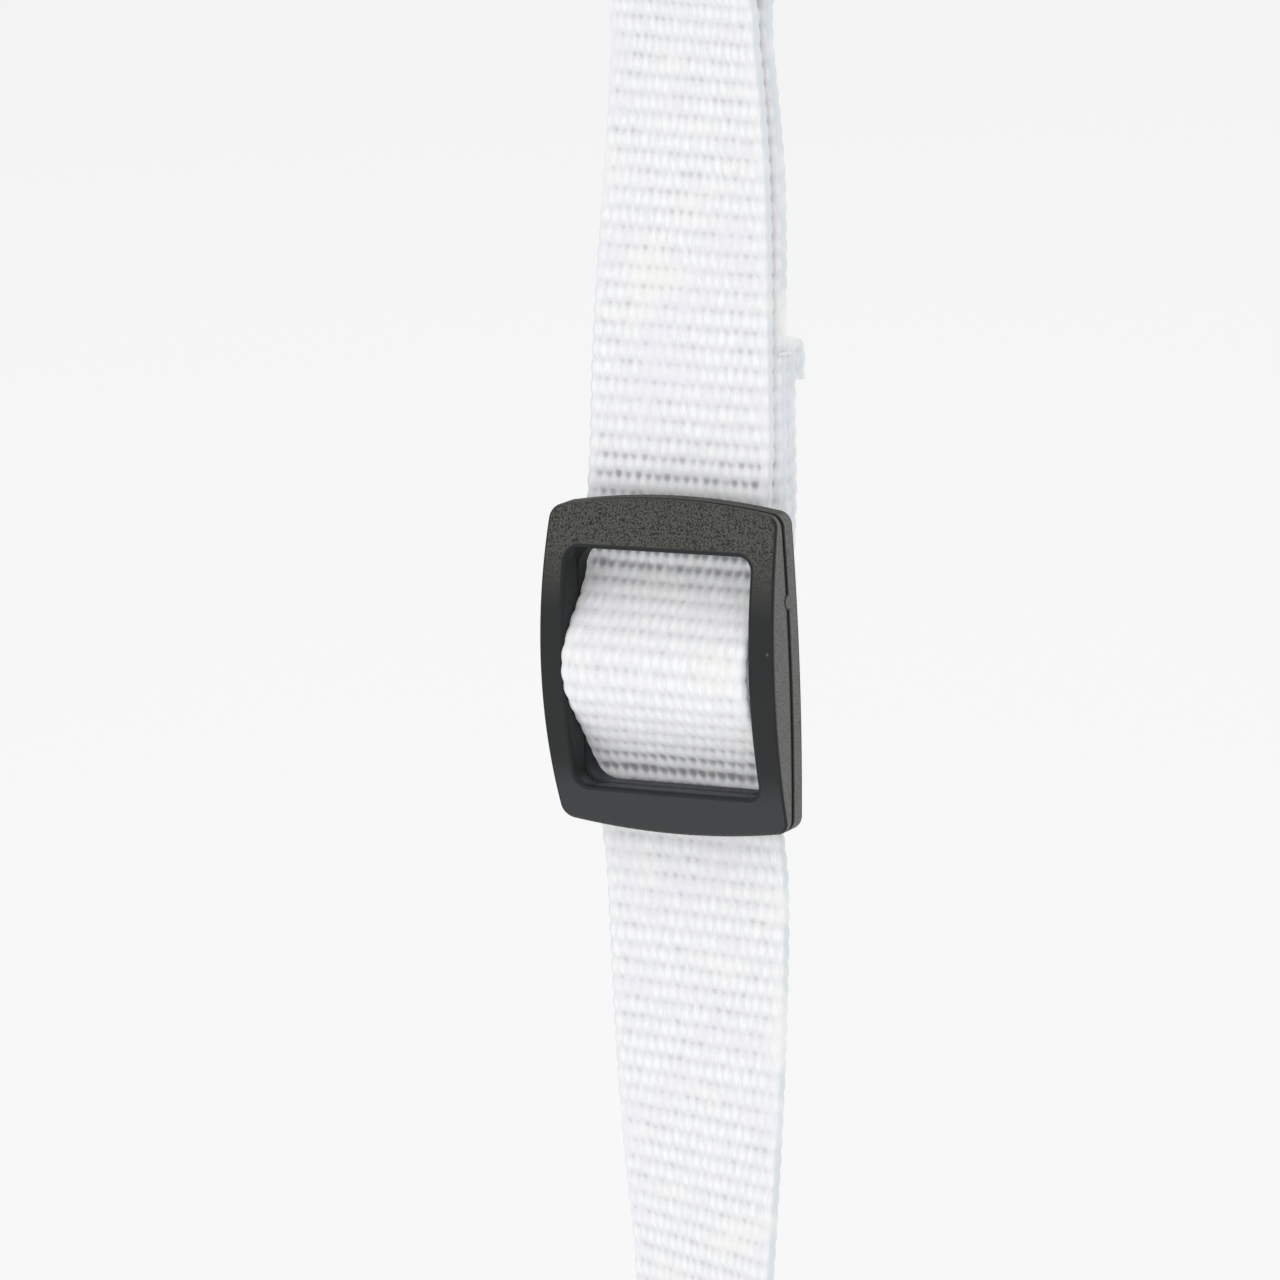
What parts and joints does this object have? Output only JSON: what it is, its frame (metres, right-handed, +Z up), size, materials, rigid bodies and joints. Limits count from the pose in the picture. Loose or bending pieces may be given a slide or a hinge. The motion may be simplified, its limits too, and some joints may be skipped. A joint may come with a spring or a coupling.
{
  "type": "buckle slider",
  "caption": "Strap-adjusting slider: a bowed two-shell plastic frame with a centre bar, threaded with flat ribbed webbing between two end rings.",
  "frame": {"origin": "underside of the top ring's upper crossbar, at the middle of its length, where the anchor that carries the strap bears", "axes": "+Z up along the hanging strap; the slider's arched front face looks along -Y and its centre bar lies along X"},
  "size_m": [0.0274, 0.0173, 0.1724],
  "materials": {
    "frame_plastic": "fine moulded grain, satin",
    "bar_metal": "drawn wire, dull",
    "webbing": "white ribbed flat webbing, slight sheen",
    "thread": "white sewing thread",
    "ring_metal": "nickel plated, satin"
  },
  "bodies": {
    "anchor_ring": {"top_ring": "ring_metal"},
    "strap_head": {"strap_top_turn": "webbing", "strap_front_run": "webbing", "strap_back_run": "webbing"},
    "slider": {"front_frame": "frame_plastic", "rear_frame": "frame_plastic", "strap_over_bar": "webbing", "strap_bar_loop": "webbing", "tail_stitches": "thread", "strap_lower_run": "webbing"},
    "bar": {"centre_bar": "bar_metal"},
    "lower_end": {"strap_bottom_turn": "webbing", "bottom_stitches": "thread"},
    "lower_ring": {"bottom_ring": "ring_metal"}
  },
  "joints": [
    {"name": "strap_swing", "type": "hinge", "parent": "anchor_ring", "child": "strap_head", "pos_m": [0, 0, -0.0094], "axis": [0.9511, -0.309, 0], "range_deg": [-75, 75]},
    {"name": "slider_travel", "type": "slide", "parent": "strap_head", "child": "slider", "axis": [0, 0, 1], "range_m": [-0.01, 0.012], "deforming": ["strap_front_run", "strap_back_run"]},
    {"name": "bar_spin", "type": "hinge", "parent": "slider", "child": "bar", "pos_m": [-0.0009, -0.0063, -0.0764], "axis": [1, 0, 0], "continuous": true},
    {"name": "strap_feed", "type": "slide", "parent": "slider", "child": "lower_end", "axis": [0, 0, 1], "range_m": [-0.024, 0.02], "deforming": ["strap_lower_run"]},
    {"name": "lower_ring_swing", "type": "hinge", "parent": "lower_end", "child": "lower_ring", "pos_m": [-0.0004, -0.0046, -0.1574], "axis": [0.9397, -0.342, 0], "range_deg": [-75, 75]}
  ],
  "couplings": [
    {"joint": "strap_feed", "follows": "slider_travel", "ratio": -2}
  ]
}
